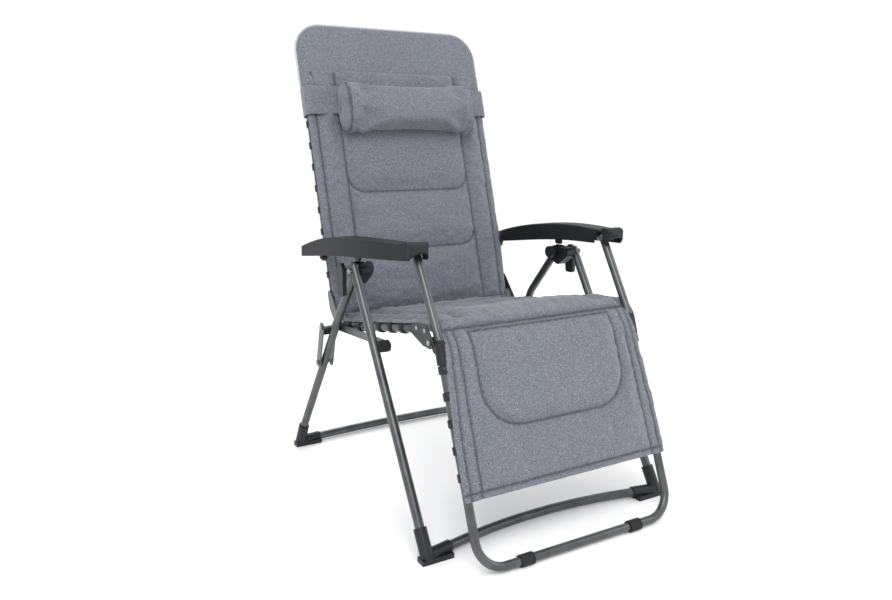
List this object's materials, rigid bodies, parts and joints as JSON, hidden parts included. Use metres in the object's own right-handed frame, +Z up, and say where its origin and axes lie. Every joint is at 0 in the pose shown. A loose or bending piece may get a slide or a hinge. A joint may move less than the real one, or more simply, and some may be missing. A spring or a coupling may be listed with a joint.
{
  "type": "zero gravity recliner",
  "caption": "Folding zero gravity recliner with padded fabric sling, armrests, linked back and footrest, side clamps and sliding head pillow.",
  "frame": {"origin": "on the floor, below the middle of the chair's box", "axes": "+Z up; the sitter faces -Y; the sitter's right hand is at -X"},
  "size_m": [0.7228, 1.0002, 1.2132],
  "materials": {
    "frame_tube": "gunmetal powder coat on steel tube",
    "bracket_steel": "gunmetal powder coat on pressed steel",
    "black_steel": "black powder coat",
    "rivet_steel": "zinc plated rivets and bolts",
    "moulded_plastic": "blue-black moulded nylon",
    "armrest_plastic": "charcoal moulded plastic, fine grain",
    "rubber": "black moulded rubber",
    "padded_fabric": "heathered blue-grey woven polyester over foam",
    "strap_fabric": "heathered blue-grey woven band"
  },
  "bodies": {
    "base": {"rear_leg_right": "frame_tube", "rear_leg_left": "frame_tube", "rear_crossbar": "frame_tube", "rear_foot_right": "moulded_plastic", "rear_foot_left": "moulded_plastic", "clamp_block_right": "moulded_plastic", "clamp_block_left": "moulded_plastic", "clamp_bolts": "rivet_steel", "clamp_knob_right": "moulded_plastic", "clamp_knob_left": "moulded_plastic", "slide_shoe_right": "moulded_plastic", "slide_shoe_left": "moulded_plastic", "bracket_rivets": "rivet_steel"},
    "cam_lever_right_body": {"cam_lever_right": "moulded_plastic"},
    "cam_lever_left_body": {"cam_lever_left": "moulded_plastic"},
    "front_legs": {"front_leg_right": "frame_tube", "front_leg_left": "frame_tube", "front_crossbar": "frame_tube", "front_foot_right": "moulded_plastic", "front_foot_left": "moulded_plastic", "leg_pins": "rivet_steel"},
    "bracket_right": {"rear_bracket_right": "bracket_steel"},
    "bracket_left": {"rear_bracket_left": "bracket_steel"},
    "stay_right_body": {"stay_right": "bracket_steel", "stay_knob_right": "rubber"},
    "stay_left_body": {"stay_left": "bracket_steel", "stay_knob_left": "rubber"},
    "seat": {"seat_rail_right": "frame_tube", "seat_rail_left": "frame_tube", "knee_plate_right": "black_steel", "knee_plate_left": "black_steel", "plate_rivets": "rivet_steel", "seat_pad": "padded_fabric"},
    "hip_pins": {"hip_bolts": "rivet_steel", "hip_strap_right": "black_steel", "hip_strap_left": "black_steel"},
    "back": {"back_frame": "frame_tube", "back_plate_right": "bracket_steel", "back_plate_left": "bracket_steel", "back_pad": "padded_fabric"},
    "arm_pins": {"arm_rear_pins": "rivet_steel", "arm_spacers": "black_steel"},
    "armrests": {"armrest_right": "armrest_plastic", "armrest_left": "armrest_plastic"},
    "knee_pivots": {"knee_pins": "rivet_steel", "knee_crossbar": "black_steel"},
    "footrest": {"footrest_frame": "frame_tube", "footrest_lever_right": "frame_tube", "footrest_lever_left": "frame_tube", "knee_sleeve_right": "moulded_plastic", "knee_sleeve_left": "moulded_plastic", "footrest_bumpers": "rubber", "leg_pad": "padded_fabric", "arm_front_pins": "rivet_steel"},
    "head_pillow": {"pillow": "padded_fabric", "pillow_strap": "strap_fabric"}
  },
  "joints": [
    {"name": "fold", "type": "hinge", "parent": "base", "child": "front_legs", "pos_m": [0, -0.01205, 0.592], "axis": [-1, 0, 0], "range_deg": [-52, 0]},
    {"name": "bracket_swing_right", "type": "hinge", "parent": "base", "child": "bracket_right", "pos_m": [0, 0.24395, 0.297], "axis": [-1, 0, 0], "range_deg": [0, 132.81]},
    {"name": "bracket_swing_left", "type": "hinge", "parent": "base", "child": "bracket_left", "pos_m": [0, 0.24395, 0.297], "axis": [-1, 0, 0], "range_deg": [0, 132.81]},
    {"name": "stay_swing_right", "type": "hinge", "parent": "bracket_right", "child": "stay_right_body", "pos_m": [0, 0.21245, 0.403], "axis": [-1, 0, 0], "range_deg": [-107.61, 0]},
    {"name": "stay_swing_left", "type": "hinge", "parent": "bracket_left", "child": "stay_left_body", "pos_m": [0, 0.21245, 0.403], "axis": [-1, 0, 0], "range_deg": [-107.61, 0]},
    {"name": "seat_tilt", "type": "hinge", "parent": "stay_right_body", "child": "seat", "pos_m": [0, 0.21245, 0.403], "axis": [-1, 0, 0], "range_deg": [0, 20.47]},
    {"name": "recline", "type": "hinge", "parent": "hip_pins", "child": "back", "pos_m": [0, 0.21245, 0.403], "axis": [-1, 0, 0], "range_deg": [0, 38]},
    {"name": "back_fold", "type": "hinge", "parent": "seat", "child": "hip_pins", "pos_m": [0, 0.21245, 0.403], "axis": [-1, 0, 0], "range_deg": [-63.01, 0]},
    {"name": "arm_level", "type": "hinge", "parent": "back", "child": "arm_pins", "pos_m": [0, 0.30545, 0.586], "axis": [-1, 0, 0], "range_deg": [-38.01, 0]},
    {"name": "arm_fold", "type": "hinge", "parent": "arm_pins", "child": "armrests", "pos_m": [0, 0.30545, 0.586], "axis": [-1, 0, 0], "range_deg": [0, 63.01]},
    {"name": "knee_lift", "type": "hinge", "parent": "knee_pivots", "child": "footrest", "pos_m": [0, -0.29705, 0.472], "axis": [-1, 0, 0], "range_deg": [0, 38.01]},
    {"name": "footrest_fold", "type": "hinge", "parent": "seat", "child": "knee_pivots", "pos_m": [0, -0.29705, 0.472], "axis": [-1, 0, 0], "range_deg": [-63.01, 0]},
    {"name": "lever_turn_right", "type": "hinge", "parent": "base", "child": "cam_lever_right_body", "pos_m": [-0.355, 0.02795, 0.589], "axis": [1, 0, 0], "range_deg": [0, 75]},
    {"name": "lever_turn_left", "type": "hinge", "parent": "base", "child": "cam_lever_left_body", "pos_m": [0.355, 0.02795, 0.589], "axis": [1, 0, 0], "range_deg": [0, 75]},
    {"name": "pillow_slide", "type": "slide", "parent": "back", "child": "head_pillow", "axis": [0, 0.2857, 0.9583], "range_m": [-0.12, 0.08]}
  ],
  "couplings": [
    {"joint": "bracket_swing_right", "follows": "fold", "ratio": -2.5538},
    {"joint": "bracket_swing_left", "follows": "fold", "ratio": -2.5538},
    {"joint": "stay_swing_right", "follows": "fold", "ratio": 2.0692},
    {"joint": "stay_swing_left", "follows": "fold", "ratio": 2.0692},
    {"joint": "back_fold", "follows": "fold", "ratio": 1.2115},
    {"joint": "arm_fold", "follows": "fold", "ratio": -1.2115},
    {"joint": "footrest_fold", "follows": "fold", "ratio": 1.2115},
    {"joint": "seat_tilt", "follows": "recline", "ratio": 0.53842},
    {"joint": "arm_level", "follows": "recline", "ratio": -1},
    {"joint": "knee_lift", "follows": "recline", "ratio": 1}
  ]
}
